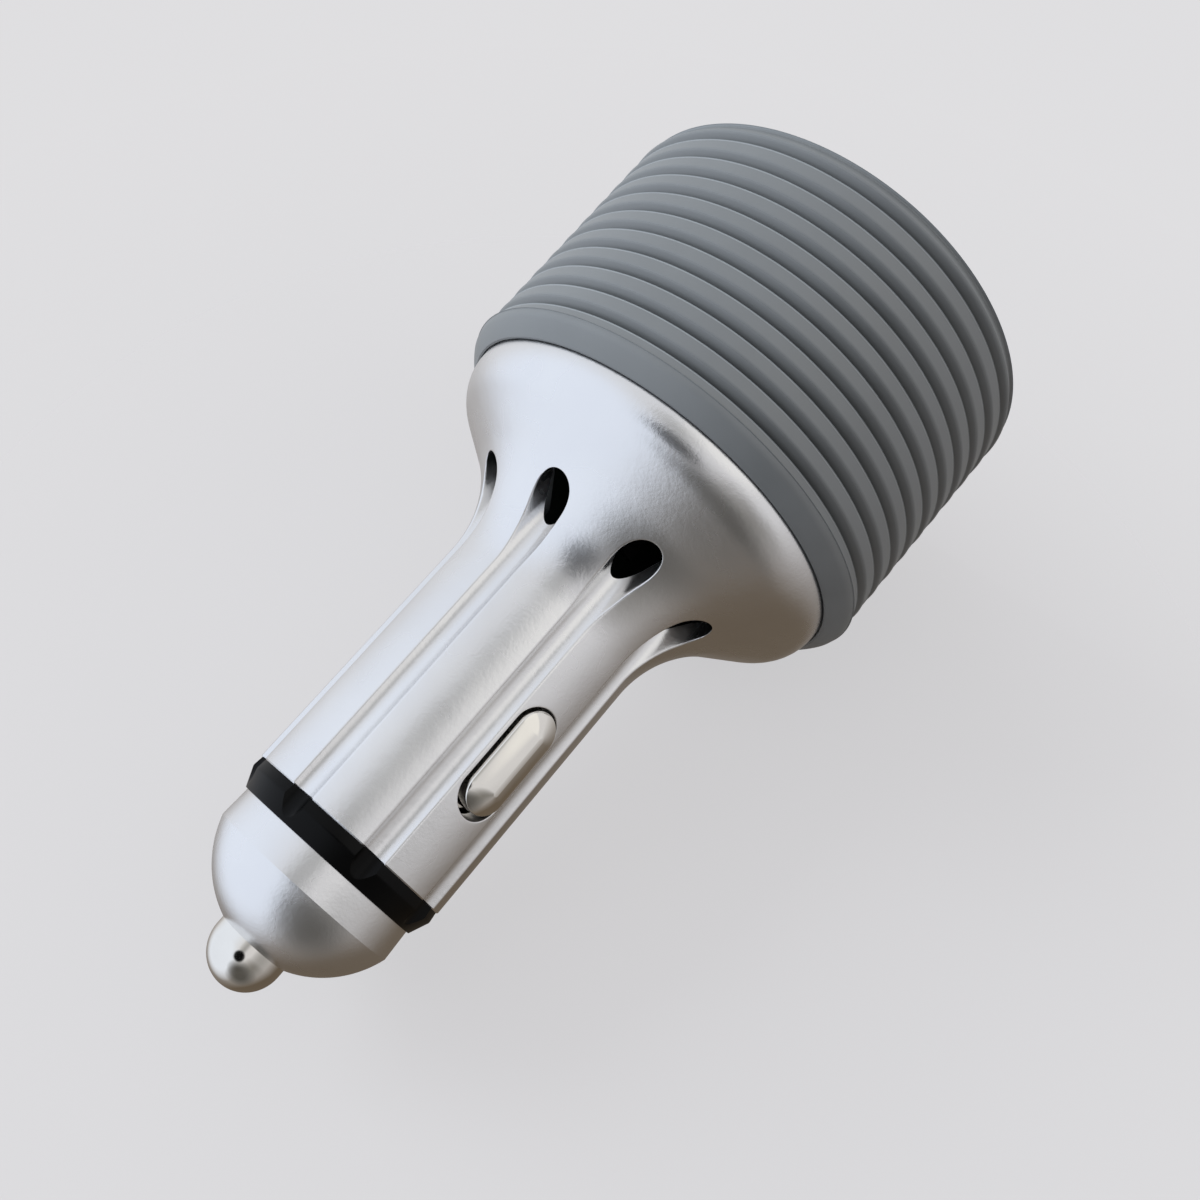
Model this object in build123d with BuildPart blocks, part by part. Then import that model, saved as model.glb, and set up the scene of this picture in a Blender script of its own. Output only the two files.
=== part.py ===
from build123d import *
import math
import os

# Step-up car adapter, standing on its head: Z = 0 is the head end, the nose points up.
# The neck is on the Z axis and the two side contacts face -Y and +Y.

# Fits
fit_gap = 0.1            # between pieces pressed or screwed together
slide_gap = 0.3          # round a piece that moves
pin_gap = 0.06           # round the centre contact in the nose cap

# Die-cast body: bell, shoulder, flare and neck
bell_r = 20.8
wall = 1.8
bell_bottom_z = 1.0
shoulder_z = 30.45       # where the bell's side would meet the cone
flare_z = 37.9           # where the cone would meet the neck
shoulder_round = 4.25
flare_round = 12.2
neck_r = 10.4
neck_top_z = 69.7
neck_lip = 0.7
neck_lip_height = 2.5

# Flutes, which run on as vents through the shoulder
flute_count = 8
flute_depth = 0.65
flute_floor_round = 1.55
vent_width = 3.7
vent_centre_r = 12.3

# Slots and contacts at the side
slot_width = 4.8
slot_length = 11.5
slot_drop = 12.9         # slot centre below the neck's end
side_clearance = 0.25
side_stand_out = 1.2     # how far the contact stands out of the neck
side_shift = 0.2         # contact's middle nearer the head than the slot's
side_crest_width = 2.0
side_crest_length = 7.4
side_bevel_height = 1.0
side_lip = 0.25          # beyond the slot's edge
side_lip_height = 1.0
side_travel = 1.3

# Insulating ring
ring_height = 2.8
ring_inset = 0.05
ring_rear_height = 1.0   # straight part
ring_stand_out = 0.1     # front edge proud of the cap's band

# Nose cap
cap_step = 0.9
cap_band_height = 2.9
dome_rise = 0.5          # dome's radius over the band's
cap_seat_depth = 3.35
cap_thread_length = 4.1

# Centre contact
pin_r = 3.5
pin_stand_out = 0.7
pin_flange = 0.6
pin_flange_height = 1.2
pin_spigot_r = 2.6
pin_spigot_height = 1.5

# Springs
contact_wire_r = 0.25
contact_coil_r = 3.3
contact_turns = 6
side_wire_r = 0.18
side_coil_r = 1.5
side_turns = 3
side_spring_length = 3.8

# Contact carrier
cup_r = 4.3
cup_wall = 0.5
cup_height = 2.0
cup_drop = 6.2           # cup floor below the neck's end
web_half = 1.6
lead_r = 0.55

# Grip sleeve
sleeve_height = 28.0
sleeve_end_wall = 2.32
sleeve_top_wall = 1.8
sleeve_end_round = 0.25
sleeve_lip = 0.9
collar_wall = 2.15
collar_height = 2.0
collar_front_wall = 0.35
collar_crown = 0.12
groove_count = 10
groove_first_z = 2.0
groove_end_gap = 1.41    # from the last groove's middle to the collar
groove_width = 0.85
groove_floor_wall = 0.9

# End plate with its two output sockets and a status light
plate_recess = 1.5
plate_thickness = 2.0
plate_step = 0.7
socket_width = 8.94
socket_height = 3.26
socket_wall = 0.3
socket_depth = 9.3
socket_spacing = 15.0
socket_recess = 0.1
tongue_width = 6.7
tongue_height = 0.7
tongue_recess = 0.7
tongue_base = 2.6
lens_r = 1.2
lens_y = 7.5
lens_flange = 0.5
post_r = 1.6
post_inset = 3.9         # from the port board's edge
post_count = 3

# Boards
board_thickness = 1.6
port_board_gap = 1.6     # from a board's edge to the shell's inside
main_board_gap = 3.5
neck_board_gap = 0.8
main_board_shoulder_drop = 2.45
main_board_neck_drop = 1.4

# Parts on the main board, in rows that start from one edge
inductor_size = 12.6
inductor_height = 7.0
inductor_inset = 8.3     # middle from the board's edge
inductor_winding_r = 5.2
inductor_winding_depth = 0.6
parts_z = 20.6
transistor_width = 5.0
transistor_length = 6.0
transistor_height = 1.0
transistor_gap = 1.0
fin_count = 4
fin_height = 6.0
fin_thickness = 0.9
spreader_width = 9.6
spreader_thickness = 1.4
spreader_gap = 3.1       # from the inductor
input_capacitor_r = 4.0
input_capacitor_height = 11.5
input_capacitor_inset = 7.0
output_capacitor_r = 3.15
output_capacitor_height = 7.7
output_capacitor_spacing = 7.6
capacitor_gap = 2.05     # from the input capacitor
capacitor_rim = 0.5
chip_size = 5.0
chip_height = 0.9
chip_z = 30.6
fuse_width = 2.5
fuse_length = 6.1
fuse_height = 2.1
fuse_z = 43.0
choke_r = 2.6
choke_length = 9.5
choke_flange = 0.5
choke_z = 43.0

# Sizes that follow
sleeve_end_r = bell_r + sleeve_end_wall
sleeve_top_r = bell_r + sleeve_top_wall
sleeve_lip_r = bell_r - sleeve_lip
collar_r = bell_r + collar_wall
collar_front_r = bell_r + collar_front_wall
groove_depth = sleeve_top_wall - groove_floor_wall
collar_corner_z = sleeve_height - collar_height
groove_pitch = (collar_corner_z - groove_end_gap - groove_first_z) / (groove_count - 1)
neck_bore_r = neck_r - wall
lip_r = neck_bore_r - neck_lip
carrier_r = neck_bore_r - fit_gap
spigot_r = lip_r - fit_gap
lip_z = neck_top_z - neck_lip_height
flute_floor_r = neck_r - flute_depth
slot_z = neck_top_z - slot_drop
ring_top_z = neck_top_z + ring_height
ring_r = neck_r - ring_inset
cap_band_r = ring_r - cap_step
dome_r = cap_band_r + dome_rise
cap_band_z = ring_top_z + cap_band_height
dome_z = cap_band_z - math.sqrt(dome_r**2 - cap_band_r**2)
pin_hole_r = pin_r + pin_gap
dome_exit_z = dome_z + math.sqrt(dome_r**2 - pin_hole_r**2)
cap_seat_z = dome_exit_z - cap_seat_depth
pin_ball_z = dome_exit_z + pin_stand_out
flange_r = pin_r + pin_flange
flange_bore_r = flange_r + slide_gap
flange_top_z = cap_seat_z - pin_gap
flange_z = flange_top_z - pin_flange_height
carrier_top_z = ring_top_z + cap_thread_length - fit_gap
cup_z = neck_top_z - cup_drop
spring_z = cup_z + cup_wall
plate_top_z = plate_recess + plate_thickness
plate_r = bell_r - wall + plate_step
socket_z = plate_recess + socket_recess
port_board_z = socket_z + socket_depth
main_board_z = port_board_z + board_thickness
main_board_top_z = slot_z - slot_length / 2 - 1.0
main_board_shoulder_z = shoulder_z - main_board_shoulder_drop
main_board_neck_z = flare_z - main_board_neck_drop
port_board_r = bell_r - wall - port_board_gap
post_circle_r = port_board_r - post_inset
main_board_half = bell_r - wall - main_board_gap
main_board_neck_half = neck_bore_r - neck_board_gap
inductor_x = inductor_inset - main_board_half
input_capacitor_x = input_capacitor_inset - main_board_half
transistor_x = inductor_x + (inductor_size + spreader_width) / 2 + spreader_gap
output_capacitor_reach = output_capacitor_spacing / 2 + output_capacitor_r
output_capacitor_x = (
    input_capacitor_x + input_capacitor_r + capacitor_gap + output_capacitor_reach
)
board_face = board_thickness / 2
side_back_y = carrier_r - 1.6
side_lip_y = side_back_y + side_lip_height
side_crest_y = neck_r + side_stand_out
side_bevel_y = side_crest_y - side_bevel_height
side_width = slot_width - 2 * side_clearance
side_length = slot_length - 2 * (side_clearance + side_shift)
pocket_floor_y = side_back_y - side_travel - 2 * slide_gap
cone_half = math.atan2(bell_r - neck_r, flare_z - shoulder_z) / 2
wall_shift = wall * math.tan(cone_half)


def facing(outward, distance):
    """Plane at a side slot, facing out along Y, with its first direction up the neck."""
    return Plane(
        origin=(0, outward * distance, slot_z), x_dir=(0, 0, 1), z_dir=(0, outward, 0)
    )


# Flute: round floor, widening outwards into the vent's round end
with BuildSketch() as flute_section:
    with BuildLine():
        CenterArc((flute_floor_r + flute_floor_round, 0), flute_floor_round, 0, 360)
        CenterArc((vent_centre_r, 0), vent_width / 2, 0, 360)
    make_hull()

# Body shell: one casting, from the bell to the end of the neck
with BuildPart() as body_shell:
    with BuildSketch(Plane.XZ):
        with BuildLine():
            outside = FilletPolyline(
                (bell_r, bell_bottom_z),
                (bell_r, shoulder_z),
                (neck_r, flare_z),
                (neck_r, neck_top_z),
                radius=[shoulder_round, flare_round],
            )
            inside = FilletPolyline(
                (neck_bore_r, lip_z),
                (neck_bore_r, flare_z - wall_shift),
                (bell_r - wall, shoulder_z - wall_shift),
                (bell_r - wall, plate_top_z),
                radius=[flare_round + wall, shoulder_round - wall],
            )
            Polyline(outside @ 1, (lip_r, neck_top_z), (lip_r, lip_z), inside @ 0)
            Polyline(inside @ 1, (plate_r, plate_top_z), (plate_r, bell_bottom_z), outside @ 0)
        make_face()
    revolve(axis=Axis.Z)
    with BuildSketch(Plane.XY.offset(neck_top_z)):
        with PolarLocations(0, flute_count, start_angle=180 / flute_count):
            add(flute_section.sketch)
    extrude(amount=shoulder_z - neck_top_z, mode=Mode.SUBTRACT)
    with BuildSketch(Plane.XZ.offset(-2 * neck_r)):
        with Locations((0, slot_z)):
            SlotOverall(slot_length, slot_width, rotation=90)
    extrude(amount=4 * neck_r, mode=Mode.SUBTRACT)
body_shell.part.label = "body_shell"

# Grip sleeve: stretched over the bell, with square grooves and a bevelled collar
with BuildPart() as grip_sleeve:
    with BuildSketch(Plane.XZ) as sleeve_section:
        with BuildLine():
            side = Polyline(
                (sleeve_lip_r, 0),
                (sleeve_end_r, 0),
                (sleeve_top_r, collar_corner_z),
                (collar_r, collar_corner_z),
            )
            ThreePointArc(
                (collar_r, collar_corner_z),
                (
                    (collar_r + collar_front_r) / 2 + collar_crown,
                    (collar_corner_z + sleeve_height) / 2 + collar_crown,
                ),
                (collar_front_r, sleeve_height),
            )
            Polyline(
                (collar_front_r, sleeve_height),
                (bell_r, sleeve_height),
                (bell_r, bell_bottom_z),
                (sleeve_lip_r, bell_bottom_z),
                side @ 0,
            )
        make_face()
        end_corner = sleeve_section.vertices().group_by(Axis.Y)[0].sort_by(Axis.X)[-1]
        fillet(end_corner, radius=sleeve_end_round)
        for turn in range(groove_count):
            groove_z = groove_first_z + turn * groove_pitch
            side_r = sleeve_end_r + (sleeve_top_r - sleeve_end_r) * groove_z / collar_corner_z
            with Locations((side_r, groove_z)):
                Rectangle(2 * groove_depth, groove_width, mode=Mode.SUBTRACT)
    revolve(axis=Axis.Z)
grip_sleeve.part.label = "grip_sleeve"

# Insulating ring: straight behind, tapered in front, notched by the flutes
with BuildPart() as insulating_ring:
    with BuildSketch(Plane.XZ):
        with BuildLine():
            Polyline(
                (lip_r, neck_top_z),
                (ring_r, neck_top_z),
                (ring_r, neck_top_z + ring_rear_height),
                (cap_band_r + ring_stand_out, ring_top_z),
                (lip_r, ring_top_z),
                close=True,
            )
        make_face()
    revolve(axis=Axis.Z)
    with BuildSketch(Plane.XY.offset(neck_top_z)):
        with PolarLocations(0, flute_count, start_angle=180 / flute_count):
            add(flute_section.sketch)
    extrude(amount=ring_height, mode=Mode.SUBTRACT)
insulating_ring.part.label = "insulating_ring"

# Nose cap: straight band, crease and dome, bored for the thread, the flange and the pin
with BuildPart() as nose_cap:
    with BuildSketch(Plane.XZ):
        with BuildLine():
            dome = CenterArc(
                (0, dome_z),
                dome_r,
                math.degrees(math.asin((cap_band_z - dome_z) / dome_r)),
                math.degrees(
                    math.acos(pin_hole_r / dome_r) - math.asin((cap_band_z - dome_z) / dome_r)
                ),
            )
            Polyline(
                dome @ 1,
                (pin_hole_r, cap_seat_z),
                (flange_bore_r, cap_seat_z),
                (flange_bore_r, ring_top_z + cap_thread_length),
                (lip_r, ring_top_z + cap_thread_length),
                (lip_r, ring_top_z),
                (cap_band_r, ring_top_z),
                dome @ 0,
            )
        make_face()
    revolve(axis=Axis.Z)
nose_cap.part.label = "nose_cap"

# Centre contact: round-ended pin with a flange inside the cap and a spigot in the spring
with BuildPart() as centre_contact:
    with BuildSketch(Plane.XZ):
        with BuildLine():
            ball = CenterArc((0, pin_ball_z), pin_r, 0, 90)
            Polyline(
                ball @ 1,
                (0, flange_z - pin_spigot_height),
                (pin_spigot_r, flange_z - pin_spigot_height),
                (pin_spigot_r, flange_z),
                (flange_r, flange_z),
                (flange_r, flange_top_z),
                (pin_r, flange_top_z),
                ball @ 0,
            )
        make_face()
    revolve(axis=Axis.Z)
centre_contact.part.label = "centre_contact"

# Contact spring: open coil from the cup's floor to the flange
with BuildPart() as contact_spring:
    coil_height = flange_z - spring_z - 2 * contact_wire_r
    with BuildLine() as contact_coil:
        Helix(
            pitch=coil_height / contact_turns,
            height=coil_height,
            radius=contact_coil_r,
            center=(0, 0, spring_z + contact_wire_r),
        )
    with BuildSketch(Plane(origin=contact_coil.line @ 0, z_dir=contact_coil.line % 0)):
        Circle(contact_wire_r)
    sweep(path=contact_coil.line, is_frenet=True)
contact_spring.part.label = "contact_spring"

# Spring cup: carries the spring and its current
with BuildPart() as spring_cup:
    with Locations((0, 0, cup_z)):
        Cylinder(cup_r, cup_height, align=(Align.CENTER, Align.CENTER, Align.MIN))
    with Locations((0, 0, spring_z)):
        Cylinder(
            cup_r - cup_wall / 2,
            cup_height,
            align=(Align.CENTER, Align.CENTER, Align.MIN),
            mode=Mode.SUBTRACT,
        )
spring_cup.part.label = "spring_cup"

# Contact carrier: held under the neck's lip, its spigot takes the ring and the nose cap
with BuildPart() as contact_carrier:
    with BuildSketch(Plane.XZ):
        with BuildLine():
            Polyline(
                (0, main_board_top_z),
                (carrier_r, main_board_top_z),
                (carrier_r, lip_z),
                (spigot_r, lip_z),
                (spigot_r, carrier_top_z),
                (flange_bore_r, carrier_top_z),
                (flange_bore_r, cup_z),
                (0, cup_z),
                close=True,
            )
        make_face()
    revolve(axis=Axis.Z)
    # Pockets for the side contacts, each with a bore for its spring, and the lead's hole
    for outward in (-1, 1):
        with BuildSketch(facing(outward, pocket_floor_y)):
            SlotOverall(
                slot_length + 2 * (side_lip + slide_gap), slot_width + 2 * (side_lip + slide_gap)
            )
        extrude(amount=neck_r, mode=Mode.SUBTRACT)
        with BuildSketch(facing(outward, web_half)):
            Circle(side_coil_r + side_wire_r + slide_gap)
        extrude(amount=neck_r, mode=Mode.SUBTRACT)
    with Locations((0, 0, main_board_top_z)):
        Cylinder(
            lead_r + fit_gap,
            cup_z - main_board_top_z,
            align=(Align.CENTER, Align.CENTER, Align.MIN),
            mode=Mode.SUBTRACT,
        )
contact_carrier.part.label = "contact_carrier"

# Positive lead: straight wire from the board's edge to the spring cup
with BuildPart() as positive_lead:
    with Locations((0, 0, main_board_top_z)):
        Cylinder(
            lead_r,
            cup_z - main_board_top_z,
            align=(Align.CENTER, Align.CENTER, Align.MIN),
        )
positive_lead.part.label = "positive_lead"


def side_contact(outward):
    """One pressed contact: retaining lip, straight body in the slot and bevelled crest."""
    with BuildPart() as contact:
        with BuildSketch(facing(outward, side_back_y)):
            SlotOverall(slot_length + 2 * side_lip, slot_width + 2 * side_lip)
        extrude(amount=side_lip_height)
        with BuildSketch(facing(outward, side_lip_y)):
            with Locations((-side_shift, 0)):
                SlotOverall(side_length, side_width)
        extrude(amount=side_bevel_y - side_lip_y)
        with BuildSketch(facing(outward, side_bevel_y)):
            with Locations((-side_shift, 0)):
                SlotOverall(side_length, side_width)
        with BuildSketch(facing(outward, side_crest_y)):
            with Locations((-side_shift, 0)):
                SlotOverall(side_crest_length, side_crest_width)
        loft()
        # Spigot that the coil spring sits on
        with BuildSketch(facing(outward, side_back_y)):
            Circle(side_coil_r - side_wire_r - fit_gap)
        extrude(amount=-side_lip_height)
    return contact.part


def side_spring(outward):
    """Coil spring that rides on the contact's back and runs into the carrier's bore."""
    coil_length = side_spring_length - 2 * side_wire_r
    with BuildPart() as spring:
        with BuildLine() as coil:
            Helix(
                pitch=coil_length / side_turns,
                height=coil_length,
                radius=side_coil_r,
                center=(0, outward * (side_back_y - side_wire_r), slot_z),
                direction=(0, -outward, 0),
            )
        with BuildSketch(Plane(origin=coil.line @ 0, z_dir=coil.line % 0)):
            Circle(side_wire_r)
        sweep(path=coil.line, is_frenet=True)
    return spring.part


pieces = {
    "side_contact_near": side_contact(-1),
    "side_contact_far": side_contact(1),
    "side_spring_near": side_spring(-1),
    "side_spring_far": side_spring(1),
}
for name, piece in pieces.items():
    piece.label = name

# End plate: recessed disc with posts for the port board
with BuildPart() as end_plate:
    with BuildSketch(Plane.XY.offset(plate_recess)):
        Circle(plate_r - fit_gap)
        with GridLocations(0, socket_spacing, 1, 2):
            SlotOverall(
                socket_width + 2 * fit_gap, socket_height + 2 * fit_gap, mode=Mode.SUBTRACT
            )
        with Locations((lens_y, 0)):
            Circle(lens_r + fit_gap, mode=Mode.SUBTRACT)
    extrude(amount=plate_thickness)
    with BuildSketch(Plane.XY.offset(plate_top_z)):
        with PolarLocations(post_circle_r, post_count, start_angle=180):
            Circle(post_r)
    extrude(amount=port_board_z - plate_top_z)
end_plate.part.label = "end_plate"

# Output sockets: drawn metal shell, and a tongue on a base that closes its rear
socket_names = ("left", "right")
for place, name in enumerate(socket_names):
    socket_y = (place - 0.5) * socket_spacing
    with BuildPart() as socket_shell:
        with BuildSketch(Plane.XY.offset(socket_z)):
            with Locations((0, socket_y)):
                SlotOverall(socket_width, socket_height)
                SlotOverall(
                    socket_width - 2 * socket_wall,
                    socket_height - 2 * socket_wall,
                    mode=Mode.SUBTRACT,
                )
        extrude(amount=socket_depth)
    socket_shell.part.label = "socket_shell_" + name
    with BuildPart() as socket_tongue:
        with BuildSketch(Plane.XY.offset(port_board_z - tongue_base)):
            with Locations((0, socket_y)):
                SlotOverall(socket_width - 2 * socket_wall, socket_height - 2 * socket_wall)
        extrude(amount=tongue_base)
        with BuildSketch(Plane.XY.offset(socket_z + tongue_recess)):
            with Locations((0, socket_y)):
                Rectangle(tongue_width, tongue_height)
        extrude(amount=socket_depth - tongue_recess - tongue_base)
    socket_tongue.part.label = "socket_tongue_" + name
    pieces[socket_shell.part.label] = socket_shell.part
    pieces[socket_tongue.part.label] = socket_tongue.part

# Status light: a light pipe from the port board to the end plate
with BuildPart() as light_lens:
    with BuildSketch(Plane.XY.offset(plate_recess)):
        with Locations((lens_y, 0)):
            Circle(lens_r)
    extrude(amount=port_board_z - plate_recess)
    with BuildSketch(Plane.XY.offset(plate_top_z)):
        with Locations((lens_y, 0)):
            Circle(lens_r + lens_flange)
    extrude(amount=lens_flange)
light_lens.part.label = "light_lens"

# Port board: round board across the bell
with BuildPart() as port_board:
    with BuildSketch(Plane.XY.offset(port_board_z)):
        Circle(port_board_r)
    extrude(amount=board_thickness)
port_board.part.label = "port_board"

# Main board: wide in the bell, narrow in the neck
with BuildPart() as main_board:
    with BuildSketch(Plane.XZ.offset(-board_face)):
        with BuildLine():
            Polyline(
                (main_board_half, main_board_z),
                (main_board_half, main_board_shoulder_z),
                (main_board_neck_half, main_board_neck_z),
                (main_board_neck_half, main_board_top_z),
                (-main_board_neck_half, main_board_top_z),
                (-main_board_neck_half, main_board_neck_z),
                (-main_board_half, main_board_shoulder_z),
                (-main_board_half, main_board_z),
                close=True,
            )
        make_face()
    extrude(amount=board_thickness)
main_board.part.label = "main_board"

# Power inductor: square ferrite with its round winding sunk in the top
with BuildPart() as power_inductor:
    with BuildSketch(Plane.XZ.offset(-board_face)):
        with Locations((inductor_x, parts_z)):
            RectangleRounded(inductor_size, inductor_size, 1.5)
    extrude(amount=-inductor_height)
    with BuildSketch(Plane.XZ.offset(-board_face - inductor_height)):
        with Locations((inductor_x, parts_z)):
            Circle(inductor_winding_r)
    extrude(amount=inductor_winding_depth, mode=Mode.SUBTRACT)
power_inductor.part.label = "power_inductor"

# Power transistors: two flat packages
with BuildPart() as power_transistors:
    with BuildSketch(Plane.XZ.offset(-board_face)):
        with Locations((transistor_x, parts_z)):
            with GridLocations(0, transistor_length + transistor_gap, 1, 2):
                Rectangle(transistor_width, transistor_length)
    extrude(amount=-transistor_height)
power_transistors.part.label = "power_transistors"

# Heat spreader: finned plate across both transistors
with BuildPart() as heat_spreader:
    spreader_length = 2 * transistor_length + transistor_gap
    with BuildSketch(Plane.XZ.offset(-board_face - transistor_height)):
        with Locations((transistor_x, parts_z)):
            Rectangle(spreader_width, spreader_length)
    extrude(amount=-spreader_thickness)
    with BuildSketch(Plane.XZ.offset(-board_face - transistor_height - spreader_thickness)):
        with Locations((transistor_x, parts_z)):
            with GridLocations((spreader_width - fin_thickness) / (fin_count - 1), 0, fin_count, 1):
                Rectangle(fin_thickness, spreader_length)
    extrude(amount=-fin_height)
heat_spreader.part.label = "heat_spreader"

# Capacitors: cans standing on the board's other face, with a rounded rim
with BuildPart() as input_capacitor:
    with BuildSketch(Plane.XZ.offset(board_face)):
        with Locations((input_capacitor_x, parts_z)):
            Circle(input_capacitor_r)
    extrude(amount=input_capacitor_height)
    fillet(input_capacitor.edges().group_by(Axis.Y)[0], radius=capacitor_rim)
input_capacitor.part.label = "input_capacitor"

with BuildPart() as output_capacitors:
    with BuildSketch(Plane.XZ.offset(board_face)):
        with Locations((output_capacitor_x, parts_z)):
            with GridLocations(output_capacitor_spacing, 0, 2, 1):
                Circle(output_capacitor_r)
    extrude(amount=output_capacitor_height)
    fillet(output_capacitors.edges().group_by(Axis.Y)[0], radius=capacitor_rim)
output_capacitors.part.label = "output_capacitors"

# Controller chip
with BuildPart() as controller_chip:
    with BuildSketch(Plane.XZ.offset(board_face)):
        with Locations((0, chip_z)):
            Rectangle(chip_size, chip_size)
    extrude(amount=chip_height)
controller_chip.part.label = "controller_chip"

# Input fuse and choke, in the neck
with BuildPart() as input_fuse:
    with BuildSketch(Plane.XZ.offset(-board_face)):
        with Locations((0, fuse_z)):
            Rectangle(fuse_width, fuse_length)
    extrude(amount=-fuse_height)
input_fuse.part.label = "input_fuse"

with BuildPart() as neck_choke:
    with BuildSketch(Plane(origin=(0, -board_face - choke_r, choke_z), z_dir=(0, 0, 1))):
        Circle(choke_r)
    extrude(amount=choke_length / 2, both=True)
    with BuildSketch(Plane(origin=(0, -board_face - choke_r, choke_z), z_dir=(0, 0, 1))):
        Circle(choke_r)
        Circle(choke_r - choke_flange, mode=Mode.SUBTRACT)
    extrude(amount=choke_length / 2 - choke_flange * 2, both=True, mode=Mode.SUBTRACT)
neck_choke.part.label = "neck_choke"

os.makedirs("parts", exist_ok=True)
for finished in (
    body_shell, grip_sleeve, insulating_ring, nose_cap, centre_contact, contact_spring,
    spring_cup, contact_carrier, positive_lead, end_plate, light_lens, port_board, main_board,
    power_inductor, power_transistors, heat_spreader, input_capacitor, output_capacitors,
    controller_chip, input_fuse, neck_choke,
):
    pieces[finished.part.label] = finished.part
for name, piece in pieces.items():
    export_step(piece, f"parts/{name}.step")
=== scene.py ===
import math

import bmesh
import bpy
import numpy as np
from mathutils import Matrix, Vector


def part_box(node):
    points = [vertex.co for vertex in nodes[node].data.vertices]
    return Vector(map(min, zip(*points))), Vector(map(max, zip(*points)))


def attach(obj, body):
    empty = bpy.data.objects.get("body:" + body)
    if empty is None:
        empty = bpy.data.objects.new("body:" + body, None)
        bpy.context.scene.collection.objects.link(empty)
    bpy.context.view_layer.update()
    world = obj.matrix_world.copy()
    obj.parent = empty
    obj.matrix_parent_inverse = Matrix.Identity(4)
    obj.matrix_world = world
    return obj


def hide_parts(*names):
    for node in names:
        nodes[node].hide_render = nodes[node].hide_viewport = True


# Step-up car adapter: smooth metal body with flutes that run on into vents, ribbed sleeve,
# nose and sprung contacts. Shapes are worked out in millimetres and scaled once to metres.

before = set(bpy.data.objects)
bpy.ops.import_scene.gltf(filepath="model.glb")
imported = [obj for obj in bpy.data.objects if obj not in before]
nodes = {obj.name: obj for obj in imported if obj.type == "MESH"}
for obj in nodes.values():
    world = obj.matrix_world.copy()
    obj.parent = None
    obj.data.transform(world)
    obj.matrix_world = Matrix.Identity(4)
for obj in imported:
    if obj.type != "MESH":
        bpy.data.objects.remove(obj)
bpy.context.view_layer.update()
mm = 0.001
print("stage: frame loaded,", len(nodes), "nodes")

# camera, fitted to the outlines; turn in degrees
view = {
    "place": (0.066976, -0.088236, 0.071213),
    "turn": (-69.3083, 40.2017, -132.3086),
    "lens": 36.303, "sensor": 36,
    "shift": (0.0735, -0.0423),
    "clipStart": 0.005,
}
cameraData = bpy.data.cameras.new("camera")
cameraData.lens = view["lens"]
cameraData.sensor_width = view["sensor"]
cameraData.shift_x, cameraData.shift_y = view["shift"]
cameraData.clip_start = view["clipStart"]
camera = bpy.data.objects.new("camera", cameraData)
camera.location = view["place"]
camera.rotation_euler = [math.radians(angle) for angle in view["turn"]]
bpy.context.scene.collection.objects.link(camera)
bpy.context.scene.camera = camera
bpy.context.scene.view_settings.view_transform = "Standard"
turnMatrix = camera.rotation_euler.to_matrix()
viewRight, viewUp, viewBack = (turnMatrix.col[axis].copy() for axis in range(3))


def rounded(corners, radii, steps=6):
    # straight runs whose corners are arcs: each arc touches both runs and turns through their angle
    corners = np.asarray(corners, float)
    pieces = [corners[:1]]
    for before, corner, after, radius in zip(corners, corners[1:], corners[2:], radii):
        back, ahead = before - corner, after - corner
        back, ahead = back / np.linalg.norm(back), ahead / np.linalg.norm(ahead)
        opening = math.acos(np.clip(back @ ahead, -1, 1))
        if radius == 0:
            pieces.append(corner[None])
            continue
        centre = corner + (back + ahead) / np.linalg.norm(back + ahead) * radius / math.sin(opening / 2)
        start = corner + back * radius / math.tan(opening / 2) - centre
        sweep = math.pi - opening
        way = np.sign(start[0] * ahead[1] - start[1] * ahead[0])
        angles = way * np.linspace(0, sweep, steps + 1)
        cosine, sine = np.cos(angles), np.sin(angles)
        pieces.append(centre + np.stack(
            [start[0] * cosine - start[1] * sine, start[0] * sine + start[1] * cosine], 1))
    pieces.append(corners[-1:])
    return np.concatenate(pieces)


def lengthAlong(points):
    # distance run along a polyline up to each of its points
    return np.concatenate([[0], np.cumsum(np.linalg.norm(np.diff(points, axis=0), axis=1))])


def turned(profile, angles):
    # profile (r, z) carried round the Z axis: x = r cos a, y = r sin a
    radius, height = np.asarray(profile, float).T[:, :, None]
    return np.stack([radius * np.cos(angles), radius * np.sin(angles), height + 0 * angles], -1)


def blended(first, last, weights):
    # straight blend from one row of points to another, one new row for each weight
    weights = np.asarray(weights).reshape(-1, *([1] * np.ndim(first)))
    return first * (1 - weights) + last * weights


def aboutZ(points, angle):
    # points turned about the Z axis
    x, y, z = np.moveaxis(points, -1, 0)
    return np.stack([x * math.cos(angle) - y * math.sin(angle),
                     x * math.sin(angle) + y * math.cos(angle), z], -1)


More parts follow.
